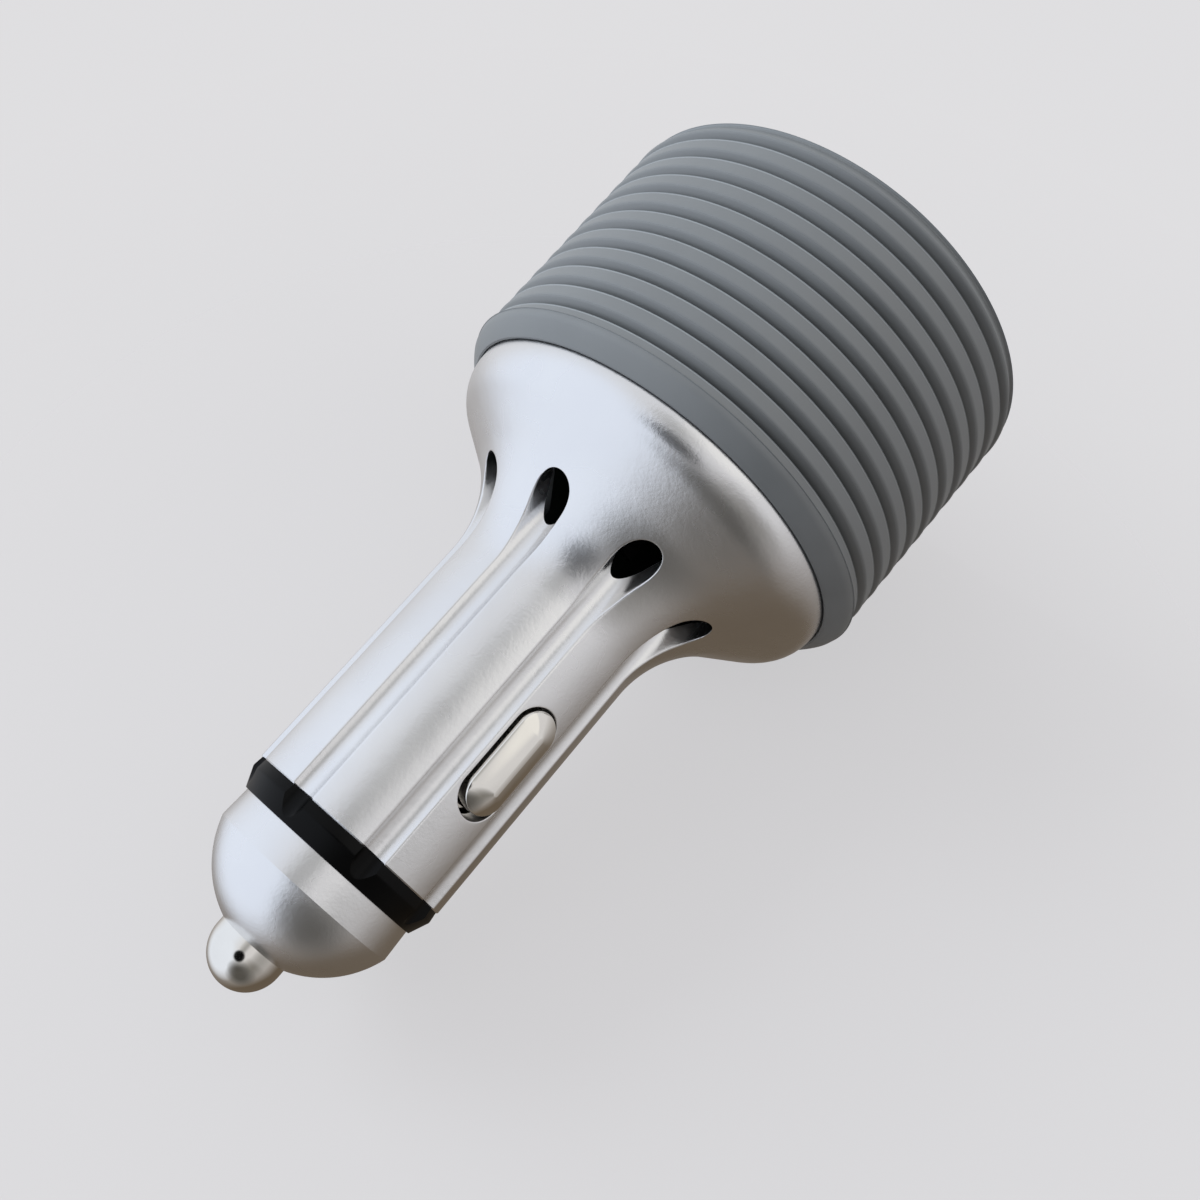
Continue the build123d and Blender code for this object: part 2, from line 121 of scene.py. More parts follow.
def pieceFrom(name, patches, body, replaced, material, sharp=32, fill=False,
              joinWithin=2e-7, sliver=1e-8):
    # grids of points become quads, shared edges are joined and the closed skin is turned outwards;
    # sharp is the angle in degrees from which an edge stays hard, and fill closes the last gap
    points, quads, start = [], [], 0
    for patch in patches:
        rows, columns = patch.shape[:2]
        index = start + np.arange(rows * columns).reshape(rows, columns)
        quads.append(np.stack(
            [index[:-1, :-1], index[:-1, 1:], index[1:, 1:], index[1:, :-1]], -1).reshape(-1, 4))
        points.append(patch.reshape(-1, 3))
        start += rows * columns
    mesh = bpy.data.meshes.new(name)
    mesh.from_pydata(np.concatenate(points) * mm, [], np.concatenate(quads).tolist())
    work = bmesh.new()
    work.from_mesh(mesh)
    bmesh.ops.remove_doubles(work, verts=work.verts, dist=joinWithin)
    bmesh.ops.dissolve_degenerate(work, edges=work.edges, dist=sliver)
    if fill:
        rim = [edge for edge in work.edges if edge.is_boundary]
        bmesh.ops.triangle_fill(work, use_beauty=True, use_dissolve=False, edges=rim)
    bmesh.ops.recalc_face_normals(work, faces=work.faces)
    openEdges = sum(len(edge.link_faces) != 2 for edge in work.edges)
    work.to_mesh(mesh)
    work.free()
    mesh.shade_smooth()
    mesh.set_sharp_from_angle(angle=math.radians(sharp))
    piece = bpy.data.objects.new(name, mesh)
    bpy.context.scene.collection.objects.link(piece)
    mesh.materials.append(material)
    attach(piece, body)
    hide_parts(*replaced)
    print("piece:", name, len(mesh.polygons), "faces,", openEdges, "open edges")


def newMaterial(name, **settings):
    # a material with some sockets of its shader set
    material = bpy.data.materials.new(name)
    material.use_nodes = True
    shader = material.node_tree.nodes["Principled BSDF"]
    for socket, value in settings.items():
        shader.inputs[socket.replace("_", " ")].default_value = value
    return material, material.node_tree, shader


def addNode(tree, kind, links=(), **values):
    # links: (input name, output socket); values: input defaults, or node options
    node = tree.nodes.new(kind)
    for key, value in values.items():
        if key in node.inputs:
            node.inputs[key].default_value = value
        else:
            setattr(node, key, value)
    for key, socket in links:
        tree.links.new(node.inputs[key], socket)
    return node


def speckle(tree, scale, detail=3.0, rough=0.6):
    # noise on Object coordinates
    place = addNode(tree, "ShaderNodeTexCoord").outputs["Object"]
    noise = addNode(tree, "ShaderNodeTexNoise", [("Vector", place)],
                    Scale=scale, Detail=detail, Roughness=rough)
    return noise.outputs["Fac"]


def spread(tree, factor, low, high, fromLow=0.3, fromHigh=0.7):
    # a value that follows the factor between two limits
    node = addNode(tree, "ShaderNodeMapRange", [("Value", factor)])
    for key, value in zip(("From Min", "From Max", "To Min", "To Max"), (fromLow, fromHigh, low, high)):
        node.inputs[key].default_value = value
    return node.outputs["Result"]


def tint(tree, factor, dark, light, fromLow=0.3, fromHigh=0.7):
    # a colour that follows the factor between two colours
    ramp = addNode(tree, "ShaderNodeValToRGB", [("Fac", factor)])
    ramp.color_ramp.elements[0].position, ramp.color_ramp.elements[1].position = fromLow, fromHigh
    ramp.color_ramp.elements[0].color = (*dark, 1)
    ramp.color_ramp.elements[1].color = (*light, 1)
    return ramp.outputs["Color"]


def bumped(tree, shader, layers):
    # one bump node for each (height, strength, depth in metres), each on top of the last
    normal = None
    for height, strength, depth in layers:
        links = [("Height", height)] + ([("Normal", normal)] if normal else [])
        node = addNode(tree, "ShaderNodeBump", links, Strength=strength, Distance=depth)
        normal = node.outputs["Normal"]
    tree.links.new(shader.inputs["Normal"], normal)


def finish(name, dark, light, roughness, toneScale, grainScale, grainDepth, grainStrength,
           wave=None, ribs=None, **settings):
    # colour and roughness that drift over the piece, a fine grain on top, and a slow wave under it;
    # the scales are noise per metre, depths are in metres, and the settings go to the shader's sockets
    material, tree, shader = newMaterial(name, **settings)
    tone = speckle(tree, toneScale)
    grain = speckle(tree, grainScale, detail=2)
    colour = tint(tree, tone, dark, light)
    # ribs multiply painted shade into the grooves and a painted highlight along their sharp edges
    if ribs:
        colour = grooveShadeAndHighlight(tree, colour, ribs)
    layers = [(grain, grainStrength, grainDepth)]
    if wave:
        layers.insert(0, (speckle(tree, wave["scale"], detail=2), wave["strength"], wave["depth"]))
    tree.links.new(shader.inputs["Base Color"], colour)
    tree.links.new(shader.inputs["Roughness"], spread(tree, tone, *roughness))
    bumped(tree, shader, layers)
    return material


def worked(tree, operation, value, number):
    # a value worked on with a number
    node = addNode(tree, "ShaderNodeMath", [(0, value)], operation=operation)
    node.inputs[1].default_value = number
    return node.outputs["Value"]


def grooveShadeAndHighlight(tree, colour, ribs):
    # shade by the share of a pitch run from a groove's start, frac((min(z, last) - start) / pitch):
    #     painted shade in the groove, a painted highlight along the sharp edge after it, plain over the rib
    place = addNode(tree, "ShaderNodeTexCoord").outputs["Object"]
    height = addNode(tree, "ShaderNodeSeparateXYZ", [("Vector", place)]).outputs["Z"]
    below = worked(tree, "MINIMUM", height, ribs["last"] * mm)
    run = worked(tree, "SUBTRACT", below, ribs["start"] * mm)
    pitches = worked(tree, "DIVIDE", run, ribs["pitch"] * mm)
    share = addNode(tree, "ShaderNodeMath", [(0, pitches)], operation="FRACT")
    ramp = addNode(tree, "ShaderNodeValToRGB", [("Fac", share.outputs["Value"])])
    for position, shade in ribs["paintedShades"]:
        ramp.color_ramp.elements.new(position).color = (shade, shade, shade, 1)
    mixed = addNode(tree, "ShaderNodeMixRGB", [("Color1", colour), ("Color2", ramp.outputs["Color"])],
                    Fac=1.0, blend_type="MULTIPLY")
    return mixed.outputs["Color"]


blastedMetal = finish(
    "blastedMetal", dark=(0.80, 0.80, 0.81), light=(0.85, 0.85, 0.85), roughness=(0.24, 0.31),
    toneScale=90, grainScale=3200, grainDepth=2.2e-5, grainStrength=0.5, Metallic=1.0,
    wave={"scale": 330, "strength": 0.5, "depth": 0.6e-4})
greySilicone = finish(
    "greySilicone", dark=(0.165, 0.174, 0.179), light=(0.185, 0.195, 0.200), roughness=(0.38, 0.48),
    toneScale=120, grainScale=4200, grainDepth=1.2e-5, grainStrength=0.4, Specular_IOR_Level=0.9,
    # painted shade in each groove and a painted highlight along each sharp rib edge
    ribs={"start": 1.375, "pitch": 2.51, "last": 26.0,
          "paintedShades": [(0.001, 1.0), (0.14, 0.85), (0.29, 0.4), (0.43, 0.3), (0.436, 1.7),
                     (0.465, 1.7), (0.49, 1.0), (0.999, 1.0)]})
nickelPlate = finish(
    "nickelPlate", dark=(0.80, 0.775, 0.73), light=(0.86, 0.835, 0.785), roughness=(0.06, 0.10),
    toneScale=150, grainScale=900, grainDepth=4e-6, grainStrength=0.15, Metallic=1.0)
blackPlastic = finish(
    "blackPlastic", dark=(0.0005, 0.0005, 0.0005), light=(0.001, 0.001, 0.0011), roughness=(0.30, 0.40),
    toneScale=200, grainScale=4000, grainDepth=8e-6, grainStrength=0.35, Specular_IOR_Level=0.13)
springSteel = finish(
    "springSteel", dark=(0.42, 0.42, 0.42), light=(0.5, 0.5, 0.5), roughness=(0.2, 0.3),
    toneScale=300, grainScale=5000, grainDepth=4e-6, grainStrength=0.3, Metallic=1.0)
brassSheet = finish(
    "brassSheet", dark=(0.6, 0.42, 0.16), light=(0.68, 0.5, 0.22), roughness=(0.22, 0.34),
    toneScale=200, grainScale=4000, grainDepth=5e-6, grainStrength=0.3, Metallic=1.0)
copperWire = finish(
    "copperWire", dark=(0.62, 0.3, 0.17), light=(0.7, 0.36, 0.22), roughness=(0.2, 0.3),
    toneScale=300, grainScale=4000, grainDepth=5e-6, grainStrength=0.3, Metallic=1.0)
carrierPlastic = finish(
    "carrierPlastic", dark=(0.02, 0.02, 0.022), light=(0.03, 0.03, 0.032), roughness=(0.42, 0.55),
    toneScale=200, grainScale=3000, grainDepth=1e-5, grainStrength=0.4)
boardGreen = finish(
    "boardGreen", dark=(0.004, 0.009, 0.006), light=(0.006, 0.014, 0.009), roughness=(0.4, 0.5),
    toneScale=500, grainScale=2500, grainDepth=1e-5, grainStrength=0.4)
darkFerrite = finish(
    "darkFerrite", dark=(0.04, 0.04, 0.043), light=(0.06, 0.06, 0.063), roughness=(0.5, 0.65),
    toneScale=400, grainScale=3500, grainDepth=2e-5, grainStrength=0.5)
packageBlack = finish(
    "packageBlack", dark=(0.014, 0.014, 0.015), light=(0.02, 0.02, 0.021), roughness=(0.45, 0.6),
    toneScale=400, grainScale=5000, grainDepth=1e-5, grainStrength=0.5)
plainAluminium = finish(
    "plainAluminium", dark=(0.62, 0.62, 0.63), light=(0.7, 0.7, 0.71), roughness=(0.28, 0.4),
    toneScale=300, grainScale=2500, grainDepth=6e-6, grainStrength=0.3, Metallic=1.0)
socketSteel = finish(
    "socketSteel", dark=(0.5, 0.5, 0.5), light=(0.58, 0.58, 0.58), roughness=(0.18, 0.28),
    toneScale=300, grainScale=4000, grainDepth=4e-6, grainStrength=0.3, Metallic=1.0)
glazedCeramic = finish(
    "glazedCeramic", dark=(0.6, 0.57, 0.5), light=(0.66, 0.63, 0.56), roughness=(0.2, 0.3),
    toneScale=300, grainScale=2500, grainDepth=6e-6, grainStrength=0.3)
milkyLens = finish(
    "milkyLens", dark=(0.6, 0.66, 0.7), light=(0.7, 0.75, 0.8), roughness=(0.12, 0.2),
    toneScale=200, grainScale=2500, grainDepth=4e-6, grainStrength=0.2, Transmission_Weight=0.5)
print("stage: materials made")

nodeFinishes = {
    "contact_spring": springSteel, "side_spring_near": springSteel, "side_spring_far": springSteel,
    "spring_cup": brassSheet, "contact_carrier": carrierPlastic, "positive_lead": copperWire,
    "end_plate": blackPlastic, "socket_shell_left": socketSteel, "socket_shell_right": socketSteel,
    "socket_tongue_left": packageBlack, "socket_tongue_right": packageBlack,
    "light_lens": milkyLens, "port_board": boardGreen, "main_board": boardGreen,
    "power_inductor": darkFerrite, "power_transistors": packageBlack,
    "heat_spreader": plainAluminium, "input_capacitor": plainAluminium,
    "output_capacitors": plainAluminium, "controller_chip": packageBlack,
    "input_fuse": glazedCeramic, "neck_choke": darkFerrite,
    "body_shell": blastedMetal, "grip_sleeve": greySilicone, "insulating_ring": blackPlastic,
    "nose_cap": blastedMetal, "centre_contact": nickelPlate,
    "side_contact_near": nickelPlate, "side_contact_far": nickelPlate,
}
for nodeName, material in nodeFinishes.items():
    nodes[nodeName].data.materials.clear()
    nodes[nodeName].data.materials.append(material)

# body shell: lengths in mm; frame is the radius of the circle below each vent, spread bunches the
# land's rows towards the vent's rim, and margin is the land kept plain round a slot
shell = {
    "neck": 10.4, "bell": 20.8, "wall": 1.8, "neckTop": 69.7, "flare": 37.9, "shoulder": 30.45,
    "flareRound": 12.2, "shoulderRound": 4.25, "foot": 1.0, "lip": 7.9, "lipHeight": 2.5,
    "plateTop": 3.5, "plate": 19.7, "endEdge": 0.12,
    "flutes": 8, "floor": 9.75, "floorRound": 1.55,
    "vent": 1.85, "ventCentre": 12.3, "rim": 0.2, "frame": 16.6, "spread": 1.4,
    "slotHalf": 2.4, "slotLength": 11.5, "slotHeight": 56.8, "slotRim": 0.12, "margin": 1.6,
    "around": 14, "down": 20, "slotRows": 16, "rimSteps": 5, "bellRows": 70, "bellyRows": 40,
    "floorSteps": 60, "ventSteps": 120, "wallRows": 8, "skinRows": 6, "slotSteps": 3, "neckRows": 3,
}


def skinFrom(corners, radii, steps=160, longest=0.3, parts=23):
    # a dense profile, looked up by the length run along it; runs over the longest are cut in parts
    profile = rounded(corners, radii, steps)
    fine = np.linspace(0, 1, parts + 1)[1:, None]
    runs = [a + (b - a) * fine if np.hypot(*(b - a)) > longest else b[None]
            for a, b in zip(profile, profile[1:])]
    profile = np.concatenate([profile[:1]] + runs)
    return {"run": lengthAlong(profile), "r": profile[:, 0], "z": profile[:, 1]}


def onSkin(skin, run, angle):
    # point on a surface of revolution at that run and that angle
    radius, height = np.interp(run, skin["run"], skin["r"]), np.interp(run, skin["run"], skin["z"])
    return np.stack(np.broadcast_arrays(radius * np.cos(angle), radius * np.sin(angle), height), -1)


def runAtRadius(skin, radius):
    # run of a skin at a radius; a hair of slope keeps its straight stretches in order
    return np.interp(radius, skin["r"] + 1e-9 * skin["run"], skin["run"])


def shellSkins(size):
    # the outer skin, the inner one a wall inside it, and the height where the straight neck ends
    lean = math.atan2(size["bell"] - size["neck"], size["flare"] - size["shoulder"])
    shift = size["wall"] * math.tan(lean / 2)
    bore, belly = size["neck"] - size["wall"], size["bell"] - size["wall"]
    outer = skinFrom([(size["neck"], size["neckTop"]), (size["neck"], size["flare"]),
                      (size["bell"], size["shoulder"]), (size["bell"], size["foot"])],
                     [size["flareRound"], size["shoulderRound"]])
    inner = skinFrom([(bore, size["neckTop"]), (bore, size["flare"] - shift),
                      (belly, size["shoulder"] - shift), (belly, size["plateTop"])],
                     [size["flareRound"] + size["wall"], size["shoulderRound"] - size["wall"]])
    return outer, inner, size["flare"] + size["flareRound"] * math.tan(lean / 2)


def fluteSection(size):
    # half a flute across: round floor, a line that touches both circles at t = pi/2 + asin(dr / dc),
    # and the vent's round end; with the number of the point where that end begins
    floorCentre = size["floor"] + size["floorRound"]
    tilt = math.asin((size["vent"] - size["floorRound"]) / (size["ventCentre"] - floorCentre))
    floorTurn = np.linspace(math.pi, math.pi / 2 + tilt, size["floorSteps"])
    ventTurn = np.linspace(math.pi / 2 + tilt, 0, size["ventSteps"])
    floorPart = np.stack([floorCentre + size["floorRound"] * np.cos(floorTurn),
                          size["floorRound"] * np.sin(floorTurn)], 1)
    ventPart = np.stack([size["ventCentre"] + size["vent"] * np.cos(ventTurn),
                         size["vent"] * np.sin(ventTurn)], 1)
    return np.concatenate([floorPart, ventPart]), len(floorPart)


def pointAt(line, run):
    # point of a flat line at a run along it
    return np.stack([np.interp(run, lengthAlong(line), axis) for axis in line.T], -1)


def across(first, second, start, last):
    # unit normals of a line given by two coordinates, with its ends' slopes given as arguments
    slopes = np.stack([np.gradient(first), np.gradient(second)], 1)
    slopes[0], slopes[-1] = start, last
    slopes /= np.linalg.norm(slopes, axis=1, keepdims=True)
    return slopes[:, 1], -slopes[:, 0]


def softRim(edge, corner, wall, steps):
    # curve over a corner, from the skin's edge e to the wall w: e (1 - t)^2 + 2 c t (1 - t) + w t^2
    bend = np.linspace(0, 1, steps + 1)[:, None, None]
    return edge * (1 - bend) ** 2 + 2 * corner * bend * (1 - bend) + wall * bend ** 2


def ventPatches(size, outer, inner, startZ):
    # half a vent: its rim, the land beside it, its wall and the inner skin round the hole; with the
    # flute's line and the land's line at the neck, where they start. Names end in S for a run along
    # a skin, in L for a run along the flute's section, and in R and Z for radius and height
    around, down, rim = size["around"], size["down"], size["rim"]
    halfTurn = math.pi / size["flutes"]
    section, touch = fluteSection(size)
    sectionRun, sectionR = lengthAlong(section), np.hypot(*section.T)
    startS = size["neckTop"] - startZ

    # rim line: even steps down the flare to the touching point, then even steps round the end
    rimS = np.linspace(startS, runAtRadius(outer, math.hypot(*section[touch])), down + 1)
    rimL = np.interp(np.interp(rimS, outer["run"], outer["r"]), sectionR, sectionRun)
    roundL = np.linspace(sectionRun[touch], sectionRun[-1], around + 1)[1:]
    roundS = runAtRadius(outer, np.interp(roundL, sectionRun, sectionR))
    rimL, rimS = np.concatenate([rimL, roundL]), np.concatenate([rimS, roundS])
    rimPlan = pointAt(section, rimL)
    rimAngle, rimR = np.arctan2(rimPlan[:, 1], rimPlan[:, 0]), np.hypot(*rimPlan.T)
    rimZ = np.interp(rimS, outer["run"], outer["z"])
    alongAngle, alongRun = across(rimAngle * rimR, rimS, (0, 1), (-1, 0))
    edgeAngle, edgeS = rimAngle + rim * alongAngle / rimR, rimS + rim * alongRun
    alongL, alongZ = across(rimL, rimZ, (0, -1), (1, 0))
    wallL, wallZ = rimL + rim * alongL, rimZ + rim * alongZ
    wallPoint = np.concatenate([pointAt(section, wallL), wallZ[:, None]], 1)
    rimPatch = softRim(onSkin(outer, edgeS, edgeAngle), onSkin(outer, rimS, rimAngle), wallPoint,
                       size["rimSteps"])

    # land: from the rim's outer edge to the middle of the land and the circle below the vent
    bottomS = runAtRadius(outer, size["frame"])
    frameAngle = np.concatenate([np.full(down, halfTurn), np.linspace(halfTurn, 0, around + 1)])
    frameS = np.concatenate([np.linspace(startS, bottomS, down + 1)[:-1], np.full(around + 1, bottomS)])
    ease = np.linspace(0, 1, around + 1) ** size["spread"]
    landPatch = onSkin(outer, blended(edgeS, frameS, ease), blended(edgeAngle, frameAngle, ease))

    # wall: columns from the floor's middle to the apex, each from its top down to the inner skin
    columnL = np.concatenate([np.linspace(0, wallL[0], around + 1)[:-1], wallL])
    columnTop = np.concatenate([np.full(around, startZ), wallZ])
    columnPlan = pointAt(section, columnL)
    holeS = runAtRadius(inner, np.hypot(*columnPlan.T))
    columnFoot = np.interp(holeS, inner["run"], inner["z"])
    heights = blended(columnTop, columnFoot, np.linspace(0, 1, size["wallRows"] + 1))
    wallPlan = np.broadcast_to(columnPlan, (len(heights), *columnPlan.shape))
    wallPatch = np.concatenate([wallPlan, heights[:, :, None]], 2)

    # inner skin round the hole
    innerEnd = runAtRadius(inner, size["frame"])
    holeAngle = np.arctan2(columnPlan[:, 1], columnPlan[:, 0])
    innerAngle = np.concatenate([np.linspace(0, halfTurn, around + 1), np.full(down - 1, halfTurn),
                                 np.linspace(halfTurn, 0, around + 1)])
    innerS = np.concatenate([np.full(around + 1, startS),
                             np.linspace(startS, innerEnd, down + 1)[1:-1],
                             np.full(around + 1, innerEnd)])
    weights = np.linspace(0, 1, size["skinRows"] + 1)
    holePatch = onSkin(inner, blended(holeS, innerS, weights), blended(holeAngle, innerAngle, weights))
    fluteLine = np.concatenate([columnPlan[:around + 1], rimPatch[::-1, 0, :2]])
    return [landPatch, rimPatch, wallPatch, holePatch], fluteLine, landPatch[:, 0, :2]


def neckHeights(size, startZ):
    # heights of the neck's rows below, beside and above the slots
    reach = size["slotLength"] / 2 + size["margin"]
    lowZ, highZ = size["slotHeight"] - reach, size["slotHeight"] + reach
    return [np.linspace(startZ, lowZ, size["neckRows"] + 1),
            np.linspace(lowZ, highZ, size["slotRows"] + 1),
            np.linspace(highZ, size["neckTop"] - size["endEdge"], size["neckRows"] + 1)]


def carried(line, heights):
    # a flat line repeated at each height
    return np.concatenate([np.broadcast_to(line, (len(heights), *line.shape)),
                           np.broadcast_to(heights[:, None, None], (len(heights), len(line), 1))], 2)


def neckPatches(size, rows, fluteLine, landLine):
    # the neck's soft end, its flute, and its land below and above the slots
    wholeLine = np.concatenate([fluteLine, landLine])
    endLine = wholeLine * (1 - size["endEdge"] / size["neck"])
    endRing = np.stack([carried(wholeLine, rows[2][-1:])[0],
                        carried(endLine, np.array([size["neckTop"]]))[0]])
    flute = [carried(fluteLine, heights) for heights in rows]
    return [endRing, *flute, carried(landLine, rows[0]), carried(landLine, rows[2])]


def roundPatches(size, outer, inner, rows, angles):
    # the neck's bore below the slots, its lip, and the bell below the vents with foot and seat
    bore, lipZ = size["neck"] - size["wall"], size["neckTop"] - size["lipHeight"]
    neckLip = [(bore, rows[2][0]), (bore, lipZ), (size["lip"], lipZ), (size["lip"], size["neckTop"])]
    below = np.linspace(runAtRadius(outer, size["frame"]), outer["run"][-1], size["bellRows"])
    above = np.linspace(inner["run"][-1], runAtRadius(inner, size["frame"]), size["bellyRows"])
    bell = np.concatenate([
        np.stack([np.interp(below, outer["run"], outer[key]) for key in ("r", "z")], 1),
        [(size["plate"], size["foot"]), (size["plate"], size["plateTop"])],
        np.stack([np.interp(above, inner["run"], inner[key]) for key in ("r", "z")], 1)])
    return [turned(profile, angles) for profile in ([(bore, z) for z in rows[0]], neckLip, bell)]


def slotPatches(size, heights, angles, landLine):
    # half a slot in the land's middle, round end, straight side, round end: its rim and its wall,
    # and the outer and inner skin from there to the frame of half a land
    around, slotRows, slotRim = size["around"], size["slotRows"], size["slotRim"]
    halfTurn, bore = math.pi / size["flutes"], size["neck"] - size["wall"]
    halfWidth, straight = size["slotHalf"], size["slotLength"] / 2 - size["slotHalf"]
    quarter = np.linspace(0, math.pi / 2, around + 1)
    sideRows = np.linspace(-straight, straight, slotRows + 1)[1:-1]
    loop = np.concatenate([
        np.stack([halfWidth * np.sin(quarter), -straight - halfWidth * np.cos(quarter)], 1),
        np.stack([np.full(slotRows - 1, halfWidth), sideRows], 1),
        np.stack([halfWidth * np.cos(quarter), straight + halfWidth * np.sin(quarter)], 1)])
    awaySide, awayUp = across(loop[:, 0], loop[:, 1], (1, 0), (-1, 0))
    sideways, upward = loop[:, 0], loop[:, 1] + size["slotHeight"]
    wide, tall = sideways + slotRim * awaySide, upward + slotRim * awayUp

    def beside(offset, height, depth):
        # a point at a sideways offset from the land's middle and a depth along its normal
        radial = np.array([math.cos(halfTurn), math.sin(halfTurn)])
        flank = np.array([math.sin(halfTurn), -math.cos(halfTurn)])
        flatPoint = offset[..., None] * flank + depth[..., None] * radial
        return np.concatenate([flatPoint, height[..., None]], -1)

    def skinRound(frameAngles, loopAngle, loopZ, radius):
        # ring of skin between the slot's loop and the frame
        frameAngle = np.concatenate([frameAngles[::-1], np.full(slotRows - 1, frameAngles[0]), frameAngles])
        frameZ = np.concatenate([np.full(around + 1, heights[0]), heights[1:-1],
                                 np.full(around + 1, heights[-1])])
        weights = np.linspace(0, 1, size["skinRows"] + 1)
        angle, height = blended(loopAngle, frameAngle, weights), blended(loopZ, frameZ, weights)
        return np.stack([radius * np.cos(angle), radius * np.sin(angle), height], -1)

    depth = np.sqrt(size["neck"] ** 2 - sideways ** 2)
    edge = beside(wide, tall, np.sqrt(size["neck"] ** 2 - wide ** 2))
    corner = beside(sideways, upward, depth)
    wall = beside(sideways, upward, depth - slotRim)
    foot = beside(sideways, upward, np.sqrt(bore ** 2 - sideways ** 2))
    landAngles = np.arctan2(landLine[:, 1], landLine[:, 0])
    return [softRim(edge, corner, wall, size["rimSteps"]),
            blended(wall, foot, np.linspace(0, 1, size["slotSteps"] + 1)),
            skinRound(landAngles, halfTurn - np.arcsin(wide / size["neck"]), tall, size["neck"]),
            skinRound(angles, halfTurn - np.arcsin(sideways / bore), upward, bore)]


def shellPatches(size):
    # half of one flute's share of the shell, mirrored and set round the axis; the two lands at 90
    # degrees to the X axis have slots
    halfTurn, bore = math.pi / size["flutes"], size["neck"] - size["wall"]
    outer, inner, startZ = shellSkins(size)
    vent, fluteLine, landLine = ventPatches(size, outer, inner, startZ)
    rows = neckHeights(size, startZ)
    angles = np.linspace(0, halfTurn, size["around"] + 1)
    fixed = [*vent, *neckPatches(size, rows, fluteLine, landLine),
             *roundPatches(size, outer, inner, rows, angles)]
    plainLand = [carried(landLine, rows[1]), turned([(bore, z) for z in rows[1]], angles)]
    slottedLand = slotPatches(size, rows[1], angles, landLine)
    patches = []
    for flute in range(size["flutes"]):
        centre = (2 * flute + 1) * halfTurn
        for mirror in (1, -1):
            land = math.degrees(centre + mirror * halfTurn) % 180
            chosen = slottedLand if abs(land - 90) < 1 else plainLand
            patches += [aboutZ(patch * (1, mirror, 1), centre) for patch in fixed + chosen]
    return patches


pieceFrom("bodyShell", shellPatches(shell), "housing", ["body_shell"],
          blastedMetal, fill=True)

# the turned pieces' angles
circle = np.linspace(0, 2 * math.pi, 257)

sleeve = {
    "height": 28.0, "endR": 23.12, "topR": 22.6, "lipR": 19.9, "bore": 20.8, "lipHeight": 1.0,
    "collarR": 22.95, "collarZ": 26.0, "frontR": 21.15, "crown": 0.12,
    "grooves": 10, "firstZ": 2.475, "pitch": 2.51, "width": 1.1, "floor": 0.35, "depth": 0.9,
    "edge": 0.07, "softEdge": 0.5, "root": 0.15, "endRound": 0.25, "rimGap": 0.1, "rimGapDepth": 0.5,
    "stepLow": 0.05, "stepHigh": 0.02, "stepRound": 0.05, "collarRound": 0.09, "crownRound": 6.0,
    "frontRound": 0.08, "rimRound": 0.06, "arcSteps": 5,
}


def sleeveProfile(size):
    # closed outline: end face, side with grooves that slope in from the head side and stop at a
    # sharp wall, collar with a crowned bevel, and the bore
    side = lambda z: size["endR"] + (size["topR"] - size["endR"]) * z / size["collarZ"]
    corners, radii = [(size["lipR"], 0.0), (side(0), 0.0)], [size["endRound"]]
    for count in range(size["grooves"]):
        high = size["firstZ"] + count * size["pitch"]
        low, floorLow = high - size["width"], high - size["floor"]
        corners += [(side(low), low), (side(floorLow) - size["depth"], floorLow),
                    (side(high) - size["depth"], high), (side(high), high)]
        radii += [size["softEdge"], size["root"], size["root"], size["edge"]]
    middle = ((size["collarR"] + size["frontR"]) / 2 + size["crown"],
              (size["collarZ"] + size["height"]) / 2 + size["crown"])
    rimR, rimZ = size["bore"] + size["rimGap"], size["height"] - size["rimGapDepth"]
    corners += [(side(size["collarZ"]), size["collarZ"] - size["stepLow"]),
                (size["collarR"], size["collarZ"] + size["stepHigh"]), middle,
                (size["frontR"], size["height"]), (rimR, size["height"]), (rimR, rimZ),
                (size["bore"], rimZ), (size["bore"], size["lipHeight"]),
                (size["lipR"], size["lipHeight"]), (size["lipR"], 0.0)]
    radii += [size["stepRound"], size["collarRound"], size["crownRound"], size["frontRound"],
              size["rimRound"], 0, 0, 0, 0]
    return rounded(corners, radii, size["arcSteps"])


pieceFrom("gripSleeve", [turned(sleeveProfile(sleeve), circle)], "housing", ["grip_sleeve"],
          greySilicone)

ring = {"bottom": 69.7, "height": 2.8, "rear": 1.0, "r": 10.35, "front": 9.55, "bore": 7.9,
        "edge": 0.1, "shoulder": 0.5, "arcSteps": 6, "taperSteps": 11, "inside": 12, "outside": 14}


